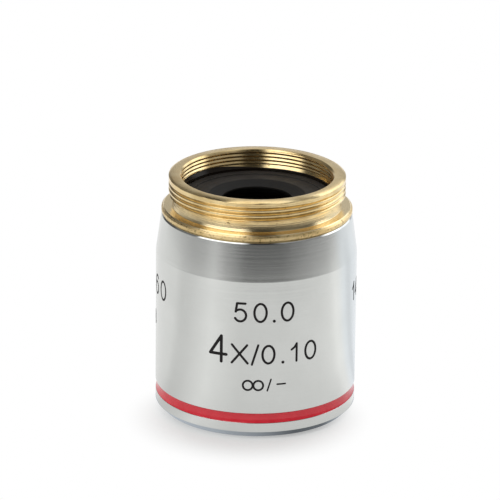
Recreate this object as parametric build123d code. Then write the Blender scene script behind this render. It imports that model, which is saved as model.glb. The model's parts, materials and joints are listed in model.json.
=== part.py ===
from build123d import *
import math
import os

# Low-power plan microscope objective, standing on its nose. Millimetres, +Z along the optical axis towards
# the mounting thread, origin at the centre of the nose face. Five lenses in three cells stand on each other
# in a barrel, and the height of that stack sets the height of the mounting shoulder.

# Mounting end: thread, shoulder and rear bore
thread_diameter = 25.0
thread_pitch = 0.75
thread_depth = 0.6134           # share of the pitch, as on any metric thread
thread_length = 4.5            # shoulder to rim
thread_angle = 60.0
thread_neck = 1.75             # shoulder to first thread, with the root fillet
thread_relief = 0.29           # neck below the thread root, so that the nosepiece meets the shoulder
root_fillet = 0.9
shoulder_width = 1.0
flange_thickness = 1.05
flange_top_chamfer = 0.25
flange_low_chamfer = 0.15
rear_wall = 1.31               # thread root to rear bore
rim_chamfer = 0.2
skirt_length = 4.95            # below the flange, inside the sleeve
skirt_wall = 1.15

# Stop ring in the rear bore
stop_seat_width = 2.2
stop_seat_thickness = 1.4
stop_thickness = 1.65
stop_aperture = 10.0           # exit pupil of a 50 mm lens at aperture 0.10
stop_lip = 0.25                # height of the aperture's wall
countersink_depth = 0.45
countersink_width = 1.8
countersink_ledge = 0.15
stop_groove_inset = 1.28
stop_groove_width = 1.1
stop_groove_depth = 0.15
shoulder_above_seat = 0.32
rear_gap = 0.3                 # barrel to the mount's inner seat

# Sleeve and colour band
sleeve_wall = 1.85
sleeve_top_wall = 1.1
sleeve_top_chamfer = 0.3
cone_height = 5.5
nose_chamfer = 1.0
nose_land = 0.95               # flat ring that the objective stands on
band_foot = 2.36
band_height = 1.45
band_depth = 0.35
band_edge_drop = 0.04          # enamel below the sleeve at the groove's edges
band_middle_drop = 0.14        # and in the middle, where it sinks

# Nose ring and the sleeve's inner lip
nose_recess = 0.3
nose_flange = 0.9
lip_thickness = 1.0
lip_width = 1.7
hub_length = 1.6
hub_gap = 0.2
funnel_step = 0.6              # funnel's throat outside the front lens's clear aperture
funnel_flare = 1.6

# Barrel
barrel_wall = 2.15
barrel_step = 0.75             # barrel's shoulder outside its spigot
barrel_shoulder = 1.2          # inner shoulder above the rear cell
barrel_end_gap = 0.1
barrel_mouth_width = 2.4       # how far that shoulder reaches in
shim_thickness = 0.2

# Cells, rings and spacers
cell_wall = 1.63
cell_foot = 0.3                # cell's end below its ring
ring_thickness = 1.0
ring_step = 0.33               # ring's thread outside the lens bore
stack_ring_width = 1.9
ledge_thickness = 0.9
rim_clearance = 0.3            # cell's rim above its lens and ledge
mouth_flare = 0.8
seat_width = 0.6
front_spacer_height = 2.0
rear_spacer_height = 1.3
spacer_wall = 1.6
slot_width = 0.9
slot_depth = 0.45

# Lenses: radius of each face, then edge thickness of crowns and centre thickness of flints
front_lens_diameter = 14.0
front_low_radius = 12.69
front_cement_radius = 16.3
front_high_radius = 54.3
front_crown_edge = 1.1
front_flint_centre = 1.4
middle_lens_diameter = 12.0
middle_face_radius = 11.42
middle_centre = 1.4
middle_flat = 1.0              # flat ring round each hollow face
rear_lens_diameter = 12.6
rear_low_radius = 40.1
rear_cement_radius = 16.4
rear_high_radius = 11.5
rear_flint_centre = 1.4
rear_crown_edge = 0.9

# Lock screws
screw_count = 3
screw_diameter = 1.6
screw_socket = 0.8             # across corners
screw_socket_depth = 0.45
screw_tip_gap = 0.02

# Clearances, each on the radius or across one gap
lens_clearance = 0.02
cell_clearance = 0.02
thread_clearance = 0.05
sleeve_clearance = 0.05
screw_clearance = 0.05
seat_gap = 0.01
cement_gap = 0.01
enamel_gap = 0.01


def sag(radius, height):
    # depth of a spherical face at a given distance from the axis
    return radius - math.sqrt(radius ** 2 - height ** 2)


def turned(*outline):
    # a closed outline of (radius, height) points carried once round the axis
    edge = Polyline(*[(r, 0, z) for r, z in outline], close=True)
    return revolve(make_face(edge), axis=Axis.Z)


def turned_edges(*edges):
    # the same for an outline with arcs in it
    return revolve(make_face(edges), axis=Axis.Z)


def line(start, end):
    return Line((start[0], 0, start[1]), (end[0], 0, end[1]))


def arc(start, middle, end):
    return ThreePointArc(*[(r, 0, z) for r, z in (start, middle, end)])


def lens(low_vertex, low_bulge, high_vertex, high_bulge, radius, flat=0.0):
    # two spherical faces on the axis: a bulge is the face's radius, positive where it rises to the axis
    def face_height(vertex, bulge, r):
        return vertex - math.copysign(sag(abs(bulge), r), bulge)

    clear = radius - flat
    low_edge = face_height(low_vertex, low_bulge, clear)
    high_edge = face_height(high_vertex, high_bulge, clear)
    low_half = face_height(low_vertex, low_bulge, clear / 2)
    high_half = face_height(high_vertex, high_bulge, clear / 2)
    edges = [
        line((0, low_vertex), (0, high_vertex)),
        arc((0, high_vertex), (clear / 2, high_half), (clear, high_edge)),
        line((radius, high_edge), (radius, low_edge)),
        arc((clear, low_edge), (clear / 2, low_half), (0, low_vertex)),
    ]
    if flat:
        edges.append(line((clear, high_edge), (radius, high_edge)))
        edges.append(line((radius, low_edge), (clear, low_edge)))
    return turned_edges(*edges)


def slotted(ring, radius, face):
    # two spanner slots across the lower face of a ring
    slot = Pos(0, 0, face) * Box(2 * radius, slot_width, 2 * slot_depth)
    return ring - slot


def retaining_ring(inner, outer, low, high):
    return slotted(turned((inner, low), (outer, low), (outer, high), (inner, high)), outer + ring_step, low)


def cell(low, ring_high, ledge, high, lens_radius):
    # tube with a threaded mouth below, the lens bore, the ledge that the lens meets and a flared rim
    bore = lens_radius + lens_clearance
    seat = lens_radius - seat_width
    ledge_high = ledge + ledge_thickness
    return turned(
        (bore + ring_step, low),
        (cell_radius, low),
        (cell_radius, high),
        (seat + mouth_flare, high),
        (seat, ledge_high),
        (seat, ledge),
        (bore, ledge),
        (bore, ring_high),
        (bore + ring_step, ring_high),
    )


def cell_ring(low, high, lens_radius):
    outer = lens_radius + lens_clearance + ring_step - thread_clearance
    return retaining_ring(lens_radius - seat_width, outer, low, high)


# Radii, from the widest lens outwards
front_radius = front_lens_diameter / 2
middle_radius = middle_lens_diameter / 2
rear_radius = rear_lens_diameter / 2
front_seat = front_radius - seat_width
rear_seat = rear_radius - seat_width
widest_lens = max(front_radius, middle_radius, rear_radius)
cell_radius = widest_lens + lens_clearance + ring_step + cell_wall
barrel_bore = cell_radius + cell_clearance
barrel_thread = barrel_bore + ring_step
spigot_radius = barrel_bore + barrel_wall
barrel_radius = spigot_radius + barrel_step
skirt_bore = spigot_radius + thread_clearance
skirt_radius = skirt_bore + skirt_wall
sleeve_bore = skirt_radius + sleeve_clearance
sleeve_radius = sleeve_bore + sleeve_wall
thread_radius = thread_diameter / 2
thread_root = thread_radius - thread_depth * thread_pitch
rear_bore = thread_root - rear_wall
flange_radius = max(thread_radius + shoulder_width, sleeve_bore + sleeve_top_wall)
nose_bore = sleeve_radius - nose_chamfer - nose_land
lip_bore = nose_bore - lip_width

# Heights, from the nose upwards: nose ring, then front cell
lip_low = nose_recess + nose_flange
lip_high = lip_low + lip_thickness
barrel_low = lip_high + barrel_end_gap
hub_high = lip_low + hub_length
stack_low = hub_high + hub_gap
front_low = stack_low + ring_thickness
front_ring_low = front_low + cell_foot
front_ring_high = front_ring_low + ring_thickness
front_crown_low = front_ring_high + seat_gap - sag(front_low_radius, front_seat)
front_crown_centre = (
    front_crown_edge + sag(front_low_radius, front_radius) + sag(front_cement_radius, front_radius)
)
front_crown_high = front_crown_low + front_crown_centre
front_flint_low = front_crown_high + cement_gap
front_flint_high = front_flint_low + front_flint_centre
front_ledge = front_flint_high - sag(front_high_radius, front_seat) + seat_gap
front_high = max(front_ledge + ledge_thickness, front_flint_high) + rim_clearance

# Middle cell
middle_low = front_high + front_spacer_height
middle_ring_low = middle_low + cell_foot
middle_ring_high = middle_ring_low + ring_thickness
middle_hollow = sag(middle_face_radius, middle_radius - middle_flat)
middle_lens_low = middle_ring_high + seat_gap + middle_hollow
middle_lens_high = middle_lens_low + middle_centre
middle_ledge = middle_lens_high + middle_hollow + seat_gap
middle_high = middle_ledge + ledge_thickness + rim_clearance

# Rear cell
rear_low = middle_high + rear_spacer_height
rear_ring_low = rear_low + cell_foot
rear_ring_high = rear_ring_low + ring_thickness
rear_flint_low = rear_ring_high + seat_gap - sag(rear_low_radius, rear_seat)
rear_flint_high = rear_flint_low + rear_flint_centre
rear_crown_low = rear_flint_high + cement_gap
rear_crown_centre = (
    rear_crown_edge + sag(rear_high_radius, rear_radius) + sag(rear_cement_radius, rear_radius)
)
rear_crown_high = rear_crown_low + rear_crown_centre
rear_ledge = rear_crown_high - sag(rear_high_radius, rear_seat) + seat_gap
rear_high = max(rear_ledge + ledge_thickness, rear_crown_high) + rim_clearance

# Barrel's end, stop ring and mount
barrel_high = rear_high + barrel_shoulder
stop_seat_low = barrel_high + rear_gap
stop_low = stop_seat_low + stop_seat_thickness
stop_high = stop_low + stop_thickness
shoulder = stop_low + shoulder_above_seat
rim = shoulder + thread_length
flange_low = shoulder - flange_thickness
skirt_low = flange_low - skirt_length
barrel_seat = skirt_low - shim_thickness
band_high = band_foot + band_height
band_floor = sleeve_radius - band_depth
screw_height = (skirt_low + stop_seat_low) / 2
from_foot = (Align.CENTER, Align.CENTER, Align.MIN)


def make_threaded_mount():
    # one turned piece: rim, thread crest cylinder, relieved neck with its fillet, flange, skirt and stepped bore
    neck = thread_root - thread_relief
    fillet_dip = root_fillet * (1 - math.sqrt(0.5))
    thread_low = shoulder + thread_neck
    bevel = thread_radius - thread_root
    flank = (thread_radius - neck) * math.tan(math.radians(thread_angle / 2))
    outline = [
        (rear_bore + rim_chamfer, rim),
        (thread_root, rim),
        (thread_radius, rim - bevel),
        (thread_radius, thread_low),
        (neck, thread_low - flank),
        (neck, shoulder + root_fillet),
    ]
    fillet_end = (neck + root_fillet, shoulder)
    rest = [
        fillet_end,
        (flange_radius - flange_top_chamfer, shoulder),
        (flange_radius, shoulder - flange_top_chamfer),
        (flange_radius, flange_low + flange_low_chamfer),
        (flange_radius - flange_low_chamfer, flange_low),
        (skirt_radius, flange_low),
        (skirt_radius, skirt_low),
        (skirt_bore, skirt_low),
        (skirt_bore, stop_seat_low),
        (rear_bore - stop_seat_width, stop_seat_low),
        (rear_bore - stop_seat_width, stop_low),
        (rear_bore, stop_low),
        (rear_bore, rim - rim_chamfer),
        outline[0],
    ]
    edges = [line(a, b) for path in (outline, rest) for a, b in zip(path, path[1:])]
    edges.append(arc(outline[-1], (neck + fillet_dip, shoulder + fillet_dip), fillet_end))
    body = turned_edges(*edges)
    hole_radius = screw_diameter / 2 + screw_clearance
    hole = Rot(0, 90, 0) * Cylinder(hole_radius, 2 * skirt_radius, align=from_foot)
    for turn in screw_turns():
        body -= Pos(0, 0, screw_height) * Rot(0, 0, turn) * hole
    return body


def screw_turns():
    return [i * 360 / screw_count for i in range(screw_count)]


def make_lock_screws():
    # grub screws that lie in the skirt's wall and bear on the barrel's spigot
    inner = spigot_radius + screw_tip_gap
    outer = skirt_radius - screw_clearance
    blank = Cylinder(screw_diameter / 2, outer - inner, align=from_foot)
    socket = extrude(RegularPolygon(screw_socket / 2, 6), screw_socket_depth)
    screw = blank - Pos(0, 0, outer - inner - screw_socket_depth) * socket
    laid = Pos(0, 0, screw_height) * Pos(inner, 0, 0) * Rot(0, 90, 0) * screw
    return Compound(children=[Rot(0, 0, turn) * laid for turn in screw_turns()])


def make_rear_stop_ring():
    # flat ring with a shallow groove, countersunk to the aperture, undercut below so that the edge is thin
    outer = rear_bore - thread_clearance
    groove_out = outer - stop_groove_inset
    groove_in = groove_out - stop_groove_width
    groove_floor = stop_high - stop_groove_depth
    aperture = stop_aperture / 2
    ledge = aperture + countersink_ledge
    ledge_height = stop_high - countersink_depth
    undercut = stop_high - countersink_depth - stop_lip
    return turned(
        (outer, stop_low),
        (outer, stop_high),
        (groove_out, stop_high),
        (groove_out, groove_floor),
        (groove_in, groove_floor),
        (groove_in, stop_high),
        (ledge + countersink_width, stop_high),
        (ledge, ledge_height),
        (aperture, ledge_height),
        (aperture, undercut),
        (aperture + undercut - stop_low, stop_low),
    )


def make_outer_sleeve():
    # straight body, cone up to the flange, chamfered nose, groove for the band, inner lip at the nose
    cone_low = flange_low - cone_height
    return turned(
        (nose_bore, 0),
        (sleeve_radius - nose_chamfer, 0),
        (sleeve_radius, nose_chamfer),
        (sleeve_radius, band_foot),
        (band_floor, band_foot),
        (band_floor, band_high),
        (sleeve_radius, band_high),
        (sleeve_radius, cone_low),
        (flange_radius, flange_low - sleeve_top_chamfer),
        (flange_radius - sleeve_top_chamfer, flange_low),
        (sleeve_bore, flange_low),
        (sleeve_bore, lip_high),
        (lip_bore, lip_high),
        (lip_bore, lip_low),
        (nose_bore, lip_low),
    )


def make_colour_band():
    # enamel in the groove, sunk a little in the middle
    floor = band_floor + enamel_gap
    low = band_foot + enamel_gap
    high = band_high - enamel_gap
    edge = sleeve_radius - band_edge_drop
    middle = (sleeve_radius - band_middle_drop, (low + high) / 2)
    return turned_edges(
        line((floor, low), (edge, low)),
        arc((edge, low), middle, (edge, high)),
        line((edge, high), (floor, high)),
        line((floor, high), (floor, low)),
    )


def make_lens_barrel():
    # tube with a spigot into the mount, an inner shoulder above the cells and a threaded lower mouth
    return turned(
        (barrel_thread, barrel_low),
        (barrel_radius, barrel_low),
        (barrel_radius, barrel_seat),
        (spigot_radius, barrel_seat),
        (spigot_radius, barrel_high),
        (barrel_bore - barrel_mouth_width, barrel_high),
        (barrel_bore - barrel_mouth_width, rear_high),
        (barrel_bore, rear_high),
        (barrel_bore, front_low),
        (barrel_thread, front_low),
    )


def make_nose_ring():
    # flange that clamps the sleeve's lip, hub screwed into the barrel, funnel towards the front lens
    hub = barrel_thread - thread_clearance
    throat = front_seat + funnel_step
    ring = turned(
        (throat + funnel_flare, nose_recess),
        (nose_bore - sleeve_clearance, nose_recess),
        (nose_bore - sleeve_clearance, lip_low),
        (hub, lip_low),
        (hub, hub_high),
        (throat, hub_high),
    )
    return slotted(ring, nose_bore + nose_land, nose_recess)


def make_parfocal_shim():
    return turned(
        (skirt_bore, barrel_seat),
        (barrel_radius, barrel_seat),
        (barrel_radius, skirt_low),
        (skirt_bore, skirt_low),
    )


def spacer(low, high):
    inner = cell_radius - spacer_wall
    return turned((inner, low), (cell_radius, low), (cell_radius, high), (inner, high))


pieces = {
    "threaded_mount": make_threaded_mount(),
    "rear_stop_ring": make_rear_stop_ring(),
    "outer_sleeve": make_outer_sleeve(),
    "colour_band": make_colour_band(),
    "lens_barrel": make_lens_barrel(),
    "parfocal_shim": make_parfocal_shim(),
    "barrel_lock_screws": make_lock_screws(),
    "rear_cell": cell(rear_low, rear_ring_high, rear_ledge, rear_high, rear_radius),
    "rear_crown_lens": lens(
        rear_crown_low, -rear_cement_radius, rear_crown_high, rear_high_radius, rear_radius
    ),
    "rear_flint_lens": lens(
        rear_flint_low, -rear_low_radius, rear_flint_high, -rear_cement_radius, rear_radius
    ),
    "rear_cell_ring": cell_ring(rear_ring_low, rear_ring_high, rear_radius),
    "rear_spacer": spacer(middle_high, rear_low),
    "middle_cell": cell(middle_low, middle_ring_high, middle_ledge, middle_high, middle_radius),
    "middle_lens": lens(
        middle_lens_low,
        middle_face_radius,
        middle_lens_high,
        -middle_face_radius,
        middle_radius,
        middle_flat,
    ),
    "middle_cell_ring": cell_ring(middle_ring_low, middle_ring_high, middle_radius),
    "front_spacer": spacer(front_high, middle_low),
    "front_cell": cell(front_low, front_ring_high, front_ledge, front_high, front_radius),
    "front_flint_lens": lens(
        front_flint_low, front_cement_radius, front_flint_high, front_high_radius, front_radius
    ),
    "front_crown_lens": lens(
        front_crown_low, -front_low_radius, front_crown_high, front_cement_radius, front_radius
    ),
    "front_cell_ring": cell_ring(front_ring_low, front_ring_high, front_radius),
    "stack_ring": retaining_ring(
        barrel_thread - stack_ring_width, barrel_thread - thread_clearance, stack_low, front_low
    ),
    "nose_ring": make_nose_ring(),
}

os.makedirs("parts", exist_ok=True)
for name, shape in pieces.items():
    export_step(shape, f"parts/{name}.step")

print(f"shoulder {shoulder:.3f}, rim {rim:.3f}, sleeve radius {sleeve_radius:.3f}")
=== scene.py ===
import json

import bmesh
import bpy
import numpy as np
from mathutils import Matrix, Vector


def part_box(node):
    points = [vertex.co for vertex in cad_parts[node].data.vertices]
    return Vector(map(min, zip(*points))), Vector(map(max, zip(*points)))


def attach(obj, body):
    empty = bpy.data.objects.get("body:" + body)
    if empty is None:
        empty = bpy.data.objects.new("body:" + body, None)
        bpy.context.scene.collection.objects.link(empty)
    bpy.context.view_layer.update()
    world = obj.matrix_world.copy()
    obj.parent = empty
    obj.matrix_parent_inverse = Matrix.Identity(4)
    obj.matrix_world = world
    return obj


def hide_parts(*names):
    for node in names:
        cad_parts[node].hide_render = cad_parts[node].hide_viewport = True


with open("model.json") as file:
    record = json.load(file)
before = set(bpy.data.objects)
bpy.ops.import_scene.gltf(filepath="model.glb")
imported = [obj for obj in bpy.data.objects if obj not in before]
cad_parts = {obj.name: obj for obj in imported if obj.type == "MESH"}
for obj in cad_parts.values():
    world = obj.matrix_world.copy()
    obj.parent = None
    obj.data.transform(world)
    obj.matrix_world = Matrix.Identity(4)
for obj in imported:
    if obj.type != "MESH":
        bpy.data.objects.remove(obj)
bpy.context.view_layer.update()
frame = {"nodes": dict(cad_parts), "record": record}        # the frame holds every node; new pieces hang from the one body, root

mm = 0.001               # shapes below are worked out in mm, Blender gets metres
scene = bpy.context.scene
mounts = {mount["name"]: mount for mount in frame["record"]["mounts"]}
slotOf = {sub["node"]: sub["material_slot"] for sub in frame["record"]["subparts"]}
print("frame:", len(frame["nodes"]), "nodes")


# Shape tools

def turnedNode(name):
    # outer radius, foot and top of a turned CAD node
    low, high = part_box(name)
    return high.x / mm, low.z / mm, high.z / mm


def softCorners(corners, steps=7):
    # corners are (radius, height, cut); each gives way to a parabola that leaves its two sides at that cut
    corners = np.array(corners, float)
    point, cut = corners[:, None, :2], corners[:, None, 2:]
    before, after = np.roll(point, 1, axis=0) - point, np.roll(point, -1, axis=0) - point
    start = point + cut * before / np.linalg.norm(before, axis=2, keepdims=True)
    end = point + cut * after / np.linalg.norm(after, axis=2, keepdims=True)
    s = np.linspace(0, 1, steps)[None, :, None]
    return ((1 - s) ** 2 * start + 2 * s * (1 - s) * point + s ** 2 * end).reshape(-1, 2)


def carriedRound(profile, columns):
    # each profile point (r, z) becomes the ring (r cos a, r sin a, z)
    angle = np.linspace(0, 2 * np.pi, columns + 1)
    r, z = profile[:, :1], profile[:, 1:]
    return np.stack([r * np.cos(angle), r * np.sin(angle), z + 0 * angle], axis=2)


def threadRows(base, thread, foot, top, columns, steps=18, landRise=0.05, frontTurn=0.75):
    # a ridge wound round the axis: row w at turn a stands at foot + pitch (w + a), held between foot and
    # top. Its radius is base + depth times the ridge's height, full from the land up, and a run-out slope
    # cuts it off at each end. The crest's level is the one at the front, three quarters of a turn round
    pitch = thread["pitch"]
    turns = int(np.ceil((top - foot) / pitch)) + 1
    w = np.arange(-steps, turns * steps + 1)[:, None] / steps
    angle = np.linspace(0, 2 * np.pi, columns + 1)[None]
    turn = angle / (2 * np.pi)
    z = np.clip(foot + pitch * (w + turn), foot, top)
    away = (z - thread["crest"]) / pitch - (turn - frontTurn)
    away = 2 * np.abs(away - np.round(away))
    ridge = np.clip((thread["rootFrom"] - away) / (thread["rootFrom"] - thread["crestTo"]), 0, 1)
    ridge += thread["soften"] * ridge * (1 - ridge) * (2 * ridge - 1)
    ridge = np.maximum(ridge, np.clip((z - thread["land"]) / landRise + 1, 0, 1))
    ends = np.minimum(thread["runOut"][0] * (z - foot), thread["runOut"][1] * (top - z))
    r = base + np.minimum(thread["depth"] * ridge, ends)
    return np.stack([r * np.cos(angle), r * np.sin(angle), z], axis=2)


def gridQuads(rows, ring):
    # the quads of a grid of points; the last row joins the first if ring
    index = np.arange(rows.shape[0] * rows.shape[1]).reshape(rows.shape[:2])
    low = index if ring else index[:-1]
    high = np.roll(index, -1, axis=0) if ring else index[1:]
    return np.stack([low[:, :-1], low[:, 1:], high[:, 1:], high[:, :-1]], axis=2)


def closedMesh(name, rows, ring=True):
    # a grid of points becomes a mesh, and merging closes its seams and poles
    quads = gridQuads(rows, ring)
    mesh = bpy.data.meshes.new(name)
    mesh.from_pydata(rows.reshape(-1, 3) * mm, [], quads.reshape(-1, 4))
    count, width = quads.shape[:2]
    row, column = np.meshgrid(np.arange(count), np.arange(width), indexing="ij")
    u = np.stack([column, column + 1, column + 1, column], axis=2) / width
    v = np.stack([row, row, row + 1, row + 1], axis=2) / count
    mesh.uv_layers.new(name="turning").uv.foreach_set("vector", np.stack([u, v], axis=3).ravel())
    return cleanMesh(mesh)


def cleanMesh(mesh, mergeGap=1e-7, sharpFrom=np.radians(38)):
    # merges points that meet, turns faces outward, and keeps the sharper edges crisp
    work = bmesh.new()
    work.from_mesh(mesh)
    bmesh.ops.remove_doubles(work, verts=work.verts, dist=mergeGap)
    bmesh.ops.recalc_face_normals(work, faces=work.faces)
    work.to_mesh(mesh)
    work.free()
    mesh.shade_smooth()
    mesh.set_sharp_from_angle(angle=sharpFrom)
    return mesh


def addPiece(mesh, finish, node=None):
    mesh.materials.append(finish)
    piece = bpy.data.objects.new(mesh.name, mesh)
    scene.collection.objects.link(piece)
    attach(piece, "root")
    if node:
        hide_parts(node)
    print("piece:", piece.name, len(mesh.polygons), "faces")


# Material tools

def metres(*lengths):
    return [length * mm for length in lengths]


def startMaterial(name):
    material = bpy.data.materials.new(name)
    material.use_nodes = True
    tree = material.node_tree
    shader = tree.nodes["Principled BSDF"]
    coords = tree.nodes.new("ShaderNodeTexCoord").outputs["Object"]
    return material, tree, shader, coords


def fillSockets(tree, node, inputs):
    # a socket is linked, anything else is set
    for key, value in inputs.items():
        if isinstance(value, bpy.types.NodeSocket):
            tree.links.new(value, node.inputs[key])
        else:
            node.inputs[key].default_value = value


def addNode(tree, kind, inputs, **settings):
    node = tree.nodes.new(kind)
    for key, value in settings.items():
        setattr(node, key, value)
    fillSockets(tree, node, inputs)
    return node


def combine(tree, operation, first, second):
    return addNode(tree, "ShaderNodeMath", {0: first, 1: second}, operation=operation).outputs[0]


def mixColours(tree, share, first, second):
    # the first colour where share is 0, the second where it is 1
    return addNode(tree, "ShaderNodeMix", {0: share, 6: first, 7: second}, data_type="RGBA").outputs[2]


def latheCoords(tree, coords):
    # (distance from the axis, height): a pattern on these runs round the piece as turning lines do
    flat = addNode(tree, "ShaderNodeVectorMath", {0: coords, 1: (1, 1, 0)}, operation="MULTIPLY")
    r = addNode(tree, "ShaderNodeVectorMath", {0: flat.outputs[0]}, operation="LENGTH").outputs["Value"]
    z = addNode(tree, "ShaderNodeSeparateXYZ", {0: coords}).outputs["Z"]
    return addNode(tree, "ShaderNodeCombineXYZ", {"X": r, "Y": z}).outputs[0]


def noise(tree, coords, scale, detail=2.0):
    inputs = {"Vector": coords, "Scale": scale, "Detail": detail}
    return addNode(tree, "ShaderNodeTexNoise", inputs).outputs["Fac"]


def spread(tree, value, low, high, fromLow=0.3, fromHigh=0.7):
    # value from fromLow to fromHigh becomes low to high
    inputs = {"Value": value, "From Min": fromLow, "From Max": fromHigh, "To Min": low, "To Max": high}
    return addNode(tree, "ShaderNodeMapRange", inputs).outputs["Result"]


def deepToPale(tree, value, look, places=(0.3, 0.7)):
    # a colour ramp from the look's deep colour to its pale one
    ramp = addNode(tree, "ShaderNodeValToRGB", {"Fac": value})
    for element, place, name in zip(ramp.color_ramp.elements, places, ("deep", "pale")):
        element.position, element.color = place, (*look[name], 1)
    return ramp.outputs["Color"]


def bumped(tree, shader, height, distance, strength=1.0):
    bump = addNode(tree, "ShaderNodeBump", {"Height": height, "Distance": distance, "Strength": strength})
    tree.links.new(bump.outputs["Normal"], shader.inputs["Normal"])


def turnedGloss(tree, shader, amount, quarterTurn=0.25):
    # turning lines spread a highlight across themselves: the tangent runs round the piece, and a quarter
    # turn lays the wider side of the gloss across the lines
    tangent = tree.nodes.new("ShaderNodeTangent")
    tangent.direction_type, tangent.uv_map = "UV_MAP", "turning"
    fillSockets(tree, shader, {"Tangent": tangent.outputs[0], "Anisotropic": amount,
                               "Anisotropic Rotation": quarterTurn})


# Finishes: heights and radii in mm, bump depths in metres

def turnedBrass():
    # bare brass off the lathe: fine rings, slight tarnish clouds, a painted highlight of paler brass in the
    # shoulder's corner, a few dark specks, and painted shade round the stop ring, near black and higher on
    # the left
    look = {"pale": (0.88, 0.69, 0.37), "deep": (0.78, 0.575, 0.27), "cloudScale": 420,
            "clouds": (0.35, 0.65), "cornerHighlight": (0.87, 0.71, 0.42, 1), "cornerHighlightTo": (30.4, 31.2),
            "speck": (0.30, 0.20, 0.08, 1), "speckScale": 3200, "speckFrom": (0.70, 0.54), "speckTo": 0.78,
            "black": (0.020, 0.015, 0.011, 1), "blackGloss": 0.15, "blackInside": 11.2,
            "boreShadeAbove": (0.42, 0.86), "boreShadeAcross": (-0.5, -5.5),
            "rough": (0.17, 0.23), "flangeRough": 0.42, "flangeEdge": 0.3, "fade": 0.1,
            "spreadAcross": 0.75, "ringScale": 6000, "ringDepth": (5e-5, 1.5e-5),
            "coarse": (30.2, 30.5, 31.2, 31.4), "boreDepth": 7e-6, "rimBump": 0.15, "rimEdge": (0.02, 0.01)}
    flangeRadius, rim = turnedNode("threaded_mount")[::2]
    stopTop = turnedNode("rear_stop_ring")[2]
    flangeFrom, boreTo = flangeRadius - look["flangeEdge"], look["blackInside"]
    onFlange = metres(flangeFrom, flangeFrom + look["fade"])
    material, tree, shader, coords = startMaterial("turnedBrass")
    place = latheCoords(tree, coords)
    at = addNode(tree, "ShaderNodeSeparateXYZ", {0: place}).outputs
    r, z = at["X"], at["Y"]
    rings = noise(tree, place, look["ringScale"], 3.0)

    clouds = noise(tree, coords, look["cloudScale"], 4.0)
    # painted highlight: below the neck and inside the flange's edge the brass is paler, so the shoulder's
    # corner mirrors pale
    low = spread(tree, z, 1, 0, *metres(*look["cornerHighlightTo"]))
    cornerHighlight = combine(tree, "MULTIPLY", low, spread(tree, r, 1, 0, *onFlange))
    metal = mixColours(tree, cornerHighlight, deepToPale(tree, clouds, look, look["clouds"]), look["cornerHighlight"])
    grain = noise(tree, coords, look["speckScale"], 1.0)
    specks = spread(tree, grain, 0, 1, spread(tree, r, *look["speckFrom"], *onFlange), look["speckTo"])
    dusted = mixColours(tree, specks, metal, look["speck"])

    # painted shade: inside the bore and below a level just above the stop ring the brass turns near black
    # and not metallic, and that level climbs higher towards the left side
    side = addNode(tree, "ShaderNodeSeparateXYZ", {0: coords}).outputs["X"]
    boreShadeTop = metres(*(stopTop + above for above in look["boreShadeAbove"]))
    below = combine(tree, "LESS_THAN", z, spread(tree, side, *boreShadeTop, *metres(*look["boreShadeAcross"])))
    black = combine(tree, "MULTIPLY", combine(tree, "LESS_THAN", r, boreTo * mm), below)
    polished = spread(tree, rings, *look["rough"])
    fillSockets(tree, shader, {"Base Color": mixColours(tree, black, dusted, look["black"]),
                               "Metallic": spread(tree, black, 1, 0, 0, 1),
                               "Specular IOR Level": look["blackGloss"],
                               "Roughness": spread(tree, r, polished, look["flangeRough"], *onFlange)})
    turnedGloss(tree, shader, look["spreadAcross"])

    neckFrom, neckTo, threadFrom, threadTo = metres(*look["coarse"])
    coarse, fine = look["ringDepth"]
    depth = spread(tree, z, coarse, fine, threadFrom, threadTo)
    depth = spread(tree, z, fine, depth, neckFrom, neckTo)
    depth = spread(tree, r, look["boreDepth"], depth, *metres(boreTo - look["fade"], boreTo))
    onRim = metres(*(rim - under for under in look["rimEdge"]))
    bumped(tree, shader, rings, depth, spread(tree, z, 1, look["rimBump"], *onRim))
    return material


def satinChrome():
    # pearl chrome over a fine turned grain, with the edge below the flange left bright
    look = {"pale": (0.69, 0.70, 0.678), "deep": (0.65, 0.66, 0.638), "cloudScale": 160,
            "rough": (0.17, 0.25), "bright": 0.06, "brightEdge": 0.24,
            "spreadAcross": 0.6, "ringScale": 4200, "ringDepth": 2e-6}
    brightFrom = (turnedNode("outer_sleeve")[2] - look["brightEdge"]) * mm
    material, tree, shader, coords = startMaterial("satinChrome")
    clouds = noise(tree, coords, look["cloudScale"], 3.0)
    rings = noise(tree, latheCoords(tree, coords), look["ringScale"], 3.0)
    height = addNode(tree, "ShaderNodeSeparateXYZ", {0: coords}).outputs["Z"]
    edge = combine(tree, "GREATER_THAN", height, brightFrom)
    plated = spread(tree, rings, *look["rough"])
    fillSockets(tree, shader, {"Base Color": deepToPale(tree, clouds, look), "Metallic": 1.0,
                               "Roughness": spread(tree, edge, plated, look["bright"], 0, 1)})
    turnedGloss(tree, shader, look["spreadAcross"])
    bumped(tree, shader, rings, look["ringDepth"])
    return material


def redEnamel():
    # paint wiped into its groove: glossy, a little uneven in colour and level
    look = {"pale": (0.75, 0.030, 0.050), "deep": (0.67, 0.018, 0.034), "rough": (0.12, 0.20),
            "cloudScale": 700, "waveDepth": 8e-6}
    material, tree, shader, coords = startMaterial("redEnamel")
    clouds = noise(tree, coords, look["cloudScale"], 3.0)
    fillSockets(tree, shader, {"Base Color": deepToPale(tree, clouds, look),
                               "Roughness": spread(tree, clouds, *look["rough"])})
    bumped(tree, shader, clouds, look["waveDepth"])
    return material


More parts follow.
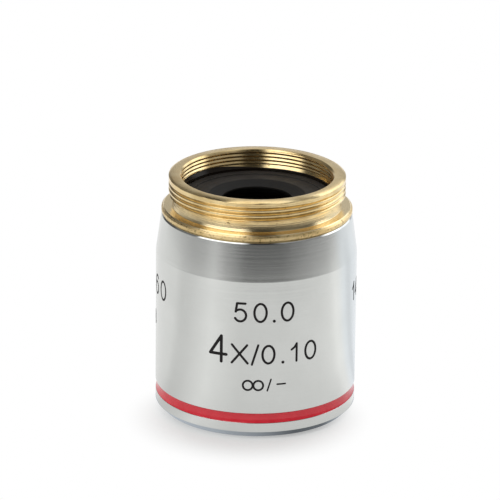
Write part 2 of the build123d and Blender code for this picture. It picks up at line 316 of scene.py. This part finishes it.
def blackAnodised():
    # black dyed aluminium with its turning lines, and painted shade inside the countersink, where the colour
    # darkens
    look = {"pale": (0.045, 0.041, 0.037), "deep": (0.033, 0.030, 0.027), "cloudScale": 500,
            "sunk": (0.013, 0.0125, 0.012, 1), "countersinkShadeInside": (6.85, 7.0),
            "rough": (0.50, 0.62), "gloss": 0.12, "ringScale": 7000, "ringDepth": 5e-6}
    material, tree, shader, coords = startMaterial("blackAnodised")
    place = latheCoords(tree, coords)
    rings = noise(tree, place, look["ringScale"], 3.0)
    clouds = noise(tree, coords, look["cloudScale"])
    r = addNode(tree, "ShaderNodeSeparateXYZ", {0: place}).outputs["X"]
    # painted shade: inside the countersink's radius the colour goes over to the darker sunk one
    sunk = spread(tree, r, 1, 0, *metres(*look["countersinkShadeInside"]))
    dyed = mixColours(tree, sunk, deepToPale(tree, clouds, look), look["sunk"])
    fillSockets(tree, shader, {"Base Color": dyed, "Specular IOR Level": look["gloss"],
                               "Roughness": spread(tree, rings, *look["rough"])})
    bumped(tree, shader, rings, look["ringDepth"])
    return material


def blackenedSteel():
    look = {"pale": (0.10, 0.10, 0.105), "deep": (0.05, 0.05, 0.055), "cloudScale": 2500,
            "rough": (0.35, 0.5)}
    material, tree, shader, coords = startMaterial("blackenedSteel")
    clouds = noise(tree, coords, look["cloudScale"], 3.0)
    fillSockets(tree, shader, {"Base Color": deepToPale(tree, clouds, look), "Metallic": 1.0,
                               "Roughness": spread(tree, clouds, *look["rough"])})
    return material


def coatedGlass():
    # clear glass with a thin coating that tints its reflections, and the faintest haze
    look = {"clear": (0.97, 0.98, 0.98, 1), "glassIor": 1.52, "coatingNm": 135, "coatingIor": 1.38,
            "haze": (0.0, 0.03), "hazeScale": 300}
    material, tree, shader, coords = startMaterial("coatedGlass")
    clouds = noise(tree, coords, look["hazeScale"], 3.0)
    fillSockets(tree, shader, {"Base Color": look["clear"], "Transmission Weight": 1.0,
                               "IOR": look["glassIor"], "Thin Film Thickness": look["coatingNm"],
                               "Thin Film IOR": look["coatingIor"],
                               "Roughness": spread(tree, clouds, *look["haze"])})
    return material


def blackInk():
    look = {"pale": (0.014, 0.012, 0.012), "deep": (0.008, 0.007, 0.007), "grainScale": 5000,
            "rough": (0.5, 0.65), "gloss": 0.2}
    material, tree, shader, coords = startMaterial("blackInk")
    grain = noise(tree, coords, look["grainScale"])
    fillSockets(tree, shader, {"Base Color": deepToPale(tree, grain, look),
                               "Specular IOR Level": look["gloss"],
                               "Roughness": spread(tree, grain, *look["rough"])})
    return material


finishes = {"brass": turnedBrass(), "satin_chrome": satinChrome(), "red_enamel": redEnamel(),
            "black_anodised": blackAnodised(), "screw_steel": blackenedSteel(), "lens_glass": coatedGlass()}
ink = blackInk()
for name, node in frame["nodes"].items():
    node.material_slots[0].material = finishes[slotOf[name]]
print("finishes:", ", ".join(sorted(finishes)))


# Threaded mount

def makeMount():
    # flange, neck and rim are a profile carried round; the two threads are wound ridges between them
    flangeRadius, foot, rim = turnedNode("threaded_mount")
    sleeveTop = turnedNode("outer_sleeve")[2]
    stopFoot, stopTop = turnedNode("rear_stop_ring")[1:]
    shoulder = mounts["shoulder"]["pos_m"][2] / mm
    size = {"columns": 216, "edge": 0.03, "flangeCut": 0.35, "flangeLowCut": 0.3,
            "neck": 11.75, "neckFoot": 12.0, "knee": 0.6, "flare": 0.45, "threadFrom": 1.55,
            "threadRise": 0.14, "bore": 10.73, "groove": 0.27, "rimCut": 0.2, "lip": (31.62, 32.16),
            "lipStep": 0.08, "relief": 32.42, "stopGap": 0.04, "skirt": 12.35, "skirtBore": 11.2,
            "seatBore": 8.53, "seatHeight": 1.4}
    outer = {"pitch": 0.75, "depth": 0.32, "crest": 33.2, "crestTo": 0.30, "rootFrom": 0.95,
             "soften": 0.35, "runOut": (1.73, 2.2), "land": 33.77}
    inner = {"pitch": 0.55, "depth": 0.16, "crest": 33.55, "crestTo": 0.10, "rootFrom": 0.92,
             "soften": 0.35, "runOut": (2.0, 2.0), "land": rim}
    root = mounts["nosepiece_thread"]["dims"]["r_mm"] - outer["depth"]
    threadFoot = shoulder + size["threadFrom"]
    bore, edge, groove = size["bore"], size["edge"], size["bore"] + size["groove"]
    seatFoot = stopFoot - size["seatHeight"]
    lipLow, lipHigh = size["lip"]
    boreFoot = size["relief"] + edge
    lower = [
        (bore, boreFoot, 0), (groove, size["relief"], edge), (groove, lipHigh, edge), (bore, lipLow, edge),
        (groove, lipLow - size["lipStep"], edge), (groove, stopTop + size["stopGap"], edge),
        (bore, stopTop, 0), (bore, stopFoot, 0), (size["seatBore"], stopFoot, edge),
        (size["seatBore"], seatFoot, edge),
        (size["skirtBore"], seatFoot, 0), (size["skirtBore"], foot, edge), (size["skirt"], foot, edge),
        (size["skirt"], sleeveTop, 0), (flangeRadius - size["flangeLowCut"], sleeveTop, edge),
        (flangeRadius, sleeveTop + size["flangeLowCut"], edge),
        (flangeRadius, shoulder - size["flangeCut"], edge),
        (flangeRadius - size["flangeCut"], shoulder, edge), (size["neckFoot"], shoulder, 2 * edge),
        (size["neck"], shoulder + size["knee"], size["flare"]),
        (size["neck"], threadFoot - size["threadRise"], edge), (root, threadFoot, 0),
    ]
    upper = [(root, rim, 0), (bore + size["rimCut"], rim, edge), (bore, rim - size["rimCut"], 0)]
    columns = size["columns"]
    rows = [carriedRound(softCorners(lower), columns), threadRows(root, outer, threadFoot, rim, columns),
            carriedRound(softCorners(upper), columns),
            threadRows(bore, inner, boreFoot, rim - size["rimCut"], columns)[::-1]]
    mesh = closedMesh("brassMount", np.concatenate(rows))
    addPiece(mesh, finishes["brass"], "threaded_mount")


makeMount()


# Sleeve and its enamel band

def makeSleeve():
    # one closed profile carried round: nose chamfer, band groove, straight wall, tapered top, then the bore
    # with its inner lip
    radius, foot, top = turnedNode("outer_sleeve")
    bandFoot, bandTop = turnedNode("colour_band")[1:]
    size = {"columns": 240, "noseCut": 1.0, "land": 0.95, "bandGap": 0.01, "bandDepth": 0.35, "cone": 5.575,
            "topCut": 0.2, "topRadius": 13.5, "bore": 12.4, "lip": 10.6, "lipLow": 1.2, "lipHigh": 2.2,
            "edge": 0.06, "noseEdge": 0.025, "sink": 0.012}
    wall, edge = radius - size["sink"], size["edge"]       # printed marks stand proud by the sink
    noseBore = radius - size["noseCut"] - size["land"]
    grooveFoot, grooveTop = bandFoot - size["bandGap"], bandTop + size["bandGap"]
    groove = wall - size["bandDepth"]
    topRadius = size["topRadius"]
    corners = [
        (noseBore, foot, edge), (wall - size["noseCut"], foot, edge),
        (wall, foot + size["noseCut"], size["noseEdge"]), (wall, grooveFoot, edge),
        (groove, grooveFoot, 0), (groove, grooveTop, 0), (wall, grooveTop, edge),
        (wall, top - size["cone"], edge), (topRadius, top - size["topCut"], edge / 2),
        (topRadius - size["topCut"], top, edge / 2), (size["bore"], top, edge / 2),
        (size["bore"], size["lipHigh"], 0), (size["lip"], size["lipHigh"], edge / 2),
        (size["lip"], size["lipLow"], edge / 2), (noseBore, size["lipLow"], 0),
    ]
    mesh = closedMesh("chromeSleeve", carriedRound(softCorners(corners), size["columns"]))
    addPiece(mesh, finishes["satin_chrome"], "outer_sleeve")


def makeBand():
    # the enamel sags towards the nose: with t from 0 at its top edge to 1 at the low one,
    # r = edge - sink (1 - t^fall) (1 - (1 - t)^lip)
    radius, foot, top = turnedNode("colour_band")
    size = {"columns": 240, "steps": 31, "sink": 0.2, "fall": 4, "lip": 16, "depth": 0.31, "drop": 0.012}
    t = np.linspace(1, 0, size["steps"])
    sunk = size["sink"] * (1 - t ** size["fall"]) * (1 - (1 - t) ** size["lip"])
    face = np.stack([radius - size["drop"] - sunk, top - t * (top - foot)], 1)
    back = radius - size["depth"]
    profile = np.concatenate([face, [[back, top], [back, foot]]])
    mesh = closedMesh("enamelBand", carriedRound(profile, size["columns"]))
    addPiece(mesh, finishes["red_enamel"], "colour_band")


makeSleeve()
makeBand()


# Stop ring in the rear bore

def makeStopRing():
    # one closed profile carried round: stepped face with a shallow groove, countersink, ledge and the
    # aperture's wall
    radius, foot, top = turnedNode("rear_stop_ring")
    size = {"columns": 192, "edge": 0.04, "rimCut": 0.12,
            "grooveOuter": 9.4, "grooveInner": 8.3, "grooveDepth": 0.15,
            "sinkRadius": 6.95, "sinkFoot": 5.15, "sinkDepth": 0.45, "aperture": 5.0, "wall": 0.25}
    edge, ledge = size["edge"], top - size["sinkDepth"]
    floor, wallFoot = top - size["grooveDepth"], ledge - size["wall"]
    under = size["aperture"] + wallFoot - foot             # the underside opens out at 45 degrees
    corners = [
        (under, foot, 0), (radius, foot, edge), (radius, top - size["rimCut"], edge),
        (radius - size["rimCut"], top, edge), (size["grooveOuter"], top, edge),
        (size["grooveOuter"], floor, edge), (size["grooveInner"], floor, edge),
        (size["grooveInner"], top, edge), (size["sinkRadius"], top, edge),
        (size["sinkFoot"], ledge, edge), (size["aperture"], ledge, edge),
        (size["aperture"], wallFoot, edge),
    ]
    mesh = closedMesh("blackStop", carriedRound(softCorners(corners), size["columns"]))
    addPiece(mesh, finishes["black_anodised"], "rear_stop_ring")


makeStopRing()


# Lenses

lensFaces = {            # radius of the low and the high face, positive where it bulges, and a flat edge
    "rear_crown_lens": (16.4, 11.5, 0), "rear_flint_lens": (40.1, -16.4, 0),
    "middle_lens": (-11.42, -11.42, 1.0),
    "front_flint_lens": (-16.3, 54.3, 0), "front_crown_lens": (12.69, 16.3, 0)}


def makeLens(node, lowRadius, highRadius, flat, columns=160, steps=28):
    # a face lies sag(r) = R - sqrt(R^2 - r^2) inside its vertex if it bulges, or sag(edge) - sag(r) inside
    # its edge if it is hollow
    radius, foot, top = turnedNode(node)
    clear = radius - flat
    r = clear * np.sin(np.linspace(0, np.pi / 2, steps))

    def depth(faceRadius):
        curve = abs(faceRadius)
        sag = curve - np.sqrt(curve ** 2 - r ** 2)
        return sag if faceRadius > 0 else sag[-1] - sag

    high = np.stack([r, top - depth(highRadius)], 1)
    low = np.stack([r, foot + depth(lowRadius)], 1)
    rimPoints = [[radius, high[-1, 1]], [radius, low[-1, 1]]]
    profile = np.concatenate([high, rimPoints, low[::-1]])
    name = "glass" + "".join(word.title() for word in node.split("_")[:2])
    mesh = closedMesh(name, carriedRound(profile, columns), ring=False)
    addPiece(mesh, finishes["lens_glass"], node)


for node, faces in lensFaces.items():
    makeLens(node, *faces)


# Printed numbers

def line(*points, steps=9):
    # straight runs through the points
    points = np.array(points, float)
    s = np.linspace(0, 1, steps)[:, None]
    runs = [a * (1 - s) + b * s for a, b in zip(points[:-1], points[1:])]
    return np.concatenate([run[:-1] for run in runs] + [points[-1:]]), False


def arc(centreX, centreY, wide, tall, start=0, end=360, steps=49):
    # part of an ellipse: (centreX + wide cos t, centreY + tall sin t); a full turn is a loop
    loop = abs(end - start) == 360
    t = np.radians(np.linspace(start, end, steps))[:-1 if loop else None]
    return np.stack([centreX + wide * np.cos(t), centreY + tall * np.sin(t)], 1), loop


figures = {              # the strokes of each figure at height 1
    "0": [arc(0.32, 0.5, 0.32, 0.5)],
    "1": [line((0, 0.68), (0.17, 0.80), (0.29, 1)), line((0.29, 1), (0.29, 0))],
    "4": [line((0.44, 0), (0.44, 1)), line((0.44, 1), (0, 0.29)), line((0, 0.29), (0.63, 0.29))],
    "5": [line((0.56, 1), (0.12, 1)), line((0.12, 1), (0.05, 0.53)),
          arc(0.29, 0.33, 0.31, 0.33, 140, -150)],
    "6": [arc(0.32, 0.32, 0.32, 0.32), arc(0.36, 0.5, 0.36, 0.5, 200, 50)],
    "8": [arc(0.31, 0.76, 0.25, 0.24), arc(0.31, 0.27, 0.31, 0.27)],
    "X": [line((0, 1), (0.83, 0)), line((0.80, 1), (0, 0))],
    "/": [line((0, 0), (0.30, 1))],
    "∞": [arc(0.49, 0.5, 0.49, 0.5), arc(1.55, 0.5, 0.49, 0.5)],
    "–": [line((0, 0), (1, 0))],
    ".": [line((0, 0), (0.02, 0))]}

markSet = {              # figure, degrees right of the front, level of its foot, height, stroke
    "markFocus": [("5", -8.6, 17.6, 2.66, 0.34), ("0", 2.6, 17.6, 2.66, 0.34), (".", 10.4, 17.65, 1, 0.44),
                  ("0", 18.1, 17.6, 2.66, 0.34)],
    "markPower": [("4", -21.5, 11.37, 3.80, 0.44), ("X", -8.9, 11.37, 2.70, 0.34),
                  ("/", -0.2, 11.20, 2.90, 0.32), ("0", 7.35, 11.37, 2.62, 0.34),
                  (".", 15.7, 11.43, 1, 0.44), ("1", 22.3, 11.40, 2.62, 0.32),
                  ("0", 32.7, 11.37, 2.62, 0.34)],
    "markCover": [("∞", -1.2, 7.37, 1.40, 0.29), ("/", 7.95, 7.27, 1.68, 0.23),
                  ("–", 14.9, 8.18, 1.18, 0.24)],
    "markLeft": [("6", -79.0, 17.5, 2.70, 0.32), ("0", -66.8, 17.5, 2.70, 0.32)],
    "markLowLeft": [("8", -85.5, 12.4, 1.95, 0.24)],
    "markRight": [("1", 74.5, 17.1, 2.62, 0.32), ("4", 83.0, 17.1, 2.62, 0.32)]}


def strokeRows(path, loop, stroke, capSteps=5):
    # a bar of the stroke's width along the path, with corners (across, depth); an open path ends in half
    # rounds: ahead of its end by stroke / 2 sin s, and stroke / 2 cos s to each side
    tangent = np.roll(path, -1, 0) - np.roll(path, 1, 0) if loop else np.gradient(path, axis=0)
    tangent /= np.linalg.norm(tangent, axis=1, keepdims=True)
    half = np.full((len(path), 1), stroke / 2)
    if not loop:
        s = np.linspace(0, np.pi / 2, capSteps + 1)[1:, None]
        ahead, side = stroke / 2 * np.sin(s), stroke / 2 * np.cos(s)
        first, last = tangent[:1], tangent[-1:]
        path = np.concatenate([(path[:1] - first * ahead)[::-1], path, path[-1:] + last * ahead])
        tangent = np.concatenate([np.repeat(first, capSteps, 0), tangent, np.repeat(last, capSteps, 0)])
        half = np.concatenate([side[::-1], half, side])
    across = half * np.stack([-tangent[:, 1], tangent[:, 0]], 1)
    flat = np.stack([path + across, path - across, path - across, path + across, path + across], 1)
    depth = np.tile([1.0, 1.0, 0, 0, 1.0], (len(path), 1))[:, :, None]
    return np.concatenate([flat, depth], 2)


def makeMark(name, placed, thickness=0.02):
    # flat strokes (x, y, depth) are bent round the sleeve: angle = turn + x / R, height = level + y
    wall = turnedNode("outer_sleeve")[0]
    points, quads, count = [], [], 0
    for figure, turn, level, height, stroke in placed:
        middle = np.concatenate([path for path, loop in figures[figure]])[:, 0]
        middle = (middle.min() + middle.max()) / 2
        for path, loop in figures[figure]:
            rows = strokeRows((path - (middle, 0)) * height, loop, stroke)
            angle = np.radians(turn) + rows[..., 0] / wall
            r = wall - thickness * (1 - rows[..., 2])
            bent = np.stack([r * np.sin(angle), -r * np.cos(angle), level + rows[..., 1]], 2)
            points.append(bent.reshape(-1, 3))
            quads.append(gridQuads(rows, loop).reshape(-1, 4) + count)
            count += len(points[-1])
    mesh = bpy.data.meshes.new(name)
    mesh.from_pydata(np.concatenate(points) * mm, [], np.concatenate(quads))
    addPiece(cleanMesh(mesh), ink)


for name, placed in markSet.items():
    makeMark(name, placed)


# Stage: floor, the studio that metal mirrors, lamps, world and camera

def seenDirectly(tree):
    # 1 for rays from the camera and for mirrored or refracted ones, so metal and glass show the white too
    rays = tree.nodes.new("ShaderNodeLightPath").outputs
    first = combine(tree, "MAXIMUM", rays["Is Camera Ray"], rays["Is Glossy Ray"])
    return combine(tree, "MAXIMUM", first, rays["Is Transmission Ray"])


def floorMaterial():
    # pale near the object, where it shows the shadow, and pure white further off
    look = {"colour": (0.875, 0.88, 0.868, 1), "rough": 0.9, "gloss": 0.1, "shadowAt": (1.0, 6.5, 0),
            "shadowTo": 9, "whiteFrom": 18.2, "least": 0.3}
    material, tree, shader, coords = startMaterial("paleFloor")
    fillSockets(tree, shader, {"Base Color": look["colour"], "Roughness": look["rough"],
                               "Specular IOR Level": look["gloss"]})
    place = addNode(tree, "ShaderNodeVectorMath", {0: coords, 1: metres(*look["shadowAt"])}).outputs[0]
    away = addNode(tree, "ShaderNodeVectorMath", {0: place}, operation="LENGTH").outputs["Value"]
    shadowTo, whiteFrom = metres(look["shadowTo"], look["whiteFrom"])
    inputs = {"Value": away, "From Min": shadowTo, "From Max": whiteFrom, "To Min": look["least"]}
    far = addNode(tree, "ShaderNodeMapRange", inputs, interpolation_type="SMOOTHSTEP").outputs["Result"]
    share = combine(tree, "MULTIPLY", far, seenDirectly(tree))
    white = addNode(tree, "ShaderNodeEmission", {"Color": (1, 1, 1, 1), "Strength": 1.0}).outputs[0]
    floor = addNode(tree, "ShaderNodeMixShader", {0: share, 1: shader.outputs[0], 2: white}).outputs[0]
    tree.links.new(floor, tree.nodes["Material Output"].inputs["Surface"])
    return material


def makeGround():
    # a flat square just under the nose
    size = {"reach": 1500, "level": -0.02}
    corners = np.array([(-1, -1, 0), (1, -1, 0), (1, 1, 0), (-1, 1, 0)]) * size["reach"]
    mesh = bpy.data.meshes.new("paleGround")
    mesh.from_pydata((corners + (0, 0, size["level"])) * mm, [], [(0, 1, 2, 3)])
    mesh.materials.append(floorMaterial())
    ground = bpy.data.objects.new("paleGround", mesh)
    scene.collection.objects.link(ground)


def tentMaterial():
    # glows as painted on the tent's points
    material, tree = startMaterial("studioTent")[:2]
    painted = tree.nodes.new("ShaderNodeAttribute")
    painted.attribute_name = "glow"
    light = addNode(tree, "ShaderNodeEmission", {"Color": painted.outputs["Color"], "Strength": 1.0})
    tree.links.new(light.outputs[0], tree.nodes["Material Output"].inputs["Surface"])
    material.cycles.emission_sampling = "NONE"
    return material


def makeTent():
    # the studio that metal mirrors: a lit floor, then a dome round the front, sides and top that is open to
    # the white ground behind. Floor and dome's foot glow by azimuth, the dome is almost black above, and
    # softboxes hang in it: each fills a fan of planes that meet on an upright line behind the object,
    # between two elevations, which are counted on past the top
    look = {"radius": 150, "centre": 25, "foot": -9, "open": (125, 4), "fade": (2, 14), "dusk": (30, 50),
            "top": 0.04, "fanBack": (0, 0.94, 0.342), "clear": (12, 24), "softSide": 3, "softEnd": 2,
            "floorLevel": 0.02, "floorRings": [(1, 1), (15, 1), (15.1, 0.9), (34, 1), (148, 1)],
            "shadeTo": 15.05, "shadeTint": (0.90, 0.98, 1.10), "coolTint": (0.955, 0.995, 1.05)}
    curves = {           # azimuth from the front and what holds there
        "shade": [(-180, 0.6), (-70, 0.62), (-25, 0.54), (0, 0.37), (25, 0.15), (46, 0.18), (64, 0.5),
                  (90, 0.6), (180, 0.6)],
        "floor": [(-180, 0.95), (-129, 0.92), (-118, 0.94), (-97, 0.92), (-85, 0.79), (-73, 0.81),
                  (-60, 0.90), (-46, 1.03), (-30, 0.94), (-15, 0.85), (30, 0.86), (70, 0.91), (83, 0.98),
                  (93, 1.13), (105, 1.11), (111, 1.07), (118, 0.91), (123, 0.92), (130, 1.03), (150, 1.0),
                  (180, 0.95)],
        "cool": [(-180, 0), (98, 0), (108, 1), (135, 1), (180, 0)],
        "horizon": [(-180, 1.0), (-128, 0.76), (-100, 0.64), (-73, 0.46), (-60, 0.48), (-46, 0.67),
                    (-33, 0.36), (-12, 0.09), (28, 0.10), (66, 0.32), (84, 0.37), (96, 0.49), (110, 0.78),
                    (120, 1.03), (180, 1.0)],
        "wall": [(-180, 0.62), (-150, 0.12), (0, 0.04), (60, 0.07), (130, 0.14), (180, 0.62)]}
    boxes = {            # fan from and to, elevation from and to, glow; earlier ones hang in front
        "overhead": (-36, -6.5, 16, 97, 1.9), "rightBack": (43, 60, 10, 170, 2.0),
        "rightFar": (60, 75, 10, 170, 1.5), "rightSide": (72, 88, 4, 24, 1.3),
        "backTop": (-17, 23, 98, 150, 1.3), "rightGrey": (12, 43, 25, 155, 0.36),
        "leftGrey": (-80, -36, 30, 150, 0.2)}
    azimuth, elevation = np.meshgrid(np.arange(-180, 181), np.arange(look["foot"], 91))    # degree by degree
    a, e = np.radians(azimuth), np.radians(elevation)
    way = np.stack([np.sin(a) * np.cos(e), -np.cos(a) * np.cos(e), np.sin(e)], axis=2)
    fan = np.degrees(np.arctan2(way[..., 0], look["fanBack"][1] - way[..., 1]))
    over = np.where(way[..., 1] > 0, 180 - elevation, elevation)
    apart = np.degrees(np.arccos(np.clip(way @ look["fanBack"], -1, 1)))

    def byAzimuth(name):
        return np.interp(azimuth, *np.array(curves[name]).T)

    def rising(value, low, high):
        return np.clip((value - low) / (high - low), 0, 1)

    def between(value, low, high, soft):
        return rising(value, low - soft, low + soft) * rising(-value, -high - soft, -high + soft)

    fade, dusk = rising(elevation, *look["fade"]), rising(elevation, *look["dusk"])
    wall = byAzimuth("wall") * (1 - dusk) + look["top"] * dusk
    glow = byAzimuth("horizon") * (1 - fade) + wall * fade
    for left, right, low, high, level in reversed(boxes.values()):
        inside = between(fan, left, right, look["softSide"]) * between(over, low, high, look["softEnd"])
        inside = inside * rising(apart, *look["clear"])
        glow = glow * (1 - inside) + level * inside

    dome = way * look["radius"] + (0, 0, look["centre"])
    ringRadius, ringShare = np.array(look["floorRings"]).T[:, :, None]
    floor = ringRadius[:, :, None] * np.stack([np.sin(a[:1]), -np.cos(a[:1]), 0 * a[:1]], axis=2)
    shaded = ringRadius < look["shadeTo"]
    floorGlow = ringShare * np.where(shaded, byAzimuth("shade")[:1], byAzimuth("floor")[:1])
    glow = np.concatenate([floorGlow, glow])[:, :, None]
    points = np.concatenate([floor + (0, 0, look["floorLevel"]), dome])
    quads = gridQuads(points, False)
    kept = np.ones(quads.shape[:2], bool)
    kept[-len(dome) + 1:] = ((np.abs(azimuth) < look["open"][0]) | (elevation >= look["open"][1]))[:-1, :-1]
    kept[len(floor) - 1] = False                           # no step between the floor and the dome

    colours = np.ones((*points.shape[:2], 4))
    colours[..., :3] = glow * (1 + byAzimuth("cool")[:1, :, None] * (np.array(look["coolTint"]) - 1))
    shadeRows = np.count_nonzero(shaded)
    colours[:shadeRows, :, :3] = glow[:shadeRows] * look["shadeTint"]
    mesh = bpy.data.meshes.new("studioTent")
    mesh.from_pydata(points.reshape(-1, 3) * mm, [], quads[kept])
    mesh.color_attributes.new("glow", "FLOAT_COLOR", "POINT").data.foreach_set("color", colours.ravel())
    mesh.materials.append(tentMaterial())
    tent = bpy.data.objects.new("studioTent", mesh)
    scene.collection.objects.link(tent)
    tent.visible_camera = tent.visible_diffuse = tent.visible_shadow = tent.visible_transmission = False


def makeLamps():
    # even panels for the dull surfaces: a panel's power is radiance times pi times its area
    aim = Vector((0, 0, 15)) * mm
    panels = {           # place, width and height, radiance
        "topPanel": ((90, 160, 480), (520, 420), 1.0),
        "leftPanel": ((-360, -210, 300), (300, 300), 1.6)}
    for name, (place, size, radiance) in panels.items():
        data = bpy.data.lights.new(name, "AREA")
        data.shape = "RECTANGLE"
        data.size, data.size_y = metres(*size)
        data.energy = radiance * np.pi * data.size * data.size_y
        lamp = bpy.data.objects.new(name, data)
        lamp.location = Vector(place) * mm
        lamp.rotation_euler = (aim - lamp.location).to_track_quat("-Z", "Y").to_euler()
        lamp.visible_camera = lamp.visible_glossy = False     # mirrors see the tent instead
        scene.collection.objects.link(lamp)


def makeWorld():
    # white wherever it is seen directly, and softer as the light on the object from all round
    ambient = 0.62
    world = bpy.data.worlds.new("studio")
    world.use_nodes = True
    scene.world = world
    tree = world.node_tree
    fill = tree.nodes["Background"]
    fillSockets(tree, fill, {"Color": (1, 1, 1, 1), "Strength": ambient})
    white = addNode(tree, "ShaderNodeBackground", {"Color": (1, 1, 1, 1), "Strength": 1.0})
    shown = {0: seenDirectly(tree), 1: fill.outputs[0], 2: white.outputs[0]}
    mixed = addNode(tree, "ShaderNodeMixShader", shown)
    tree.links.new(mixed.outputs[0], tree.nodes["World Output"].inputs["Surface"])


def makeCamera():
    # looks along +Y and down by the elevation at the aim point, then rolls about its own axis
    look = {"aim": (-0.919, 0, 23.06), "distance": 605.07, "elevation": 19.98, "roll": 0.634,
            "lens": 307.25, "sensor": 36, "clip": (10, 10000)}
    data = bpy.data.cameras.new("camera")
    data.sensor_width, data.lens = look["sensor"], look["lens"]
    data.clip_start, data.clip_end = metres(*look["clip"])
    camera = bpy.data.objects.new("camera", data)
    tilt = Matrix.Rotation(np.radians(90 - look["elevation"]), 4, "X")
    roll = Matrix.Rotation(np.radians(look["roll"]), 4, "Z")
    place = Matrix.Translation(Vector(look["aim"]) * mm)
    camera.matrix_world = place @ tilt @ Matrix.Translation((0, 0, look["distance"] * mm)) @ roll
    scene.collection.objects.link(camera)
    scene.camera = camera


makeGround()
makeTent()
makeLamps()
makeWorld()
makeCamera()
scene.view_settings.view_transform = "Standard"
print("stage ready")
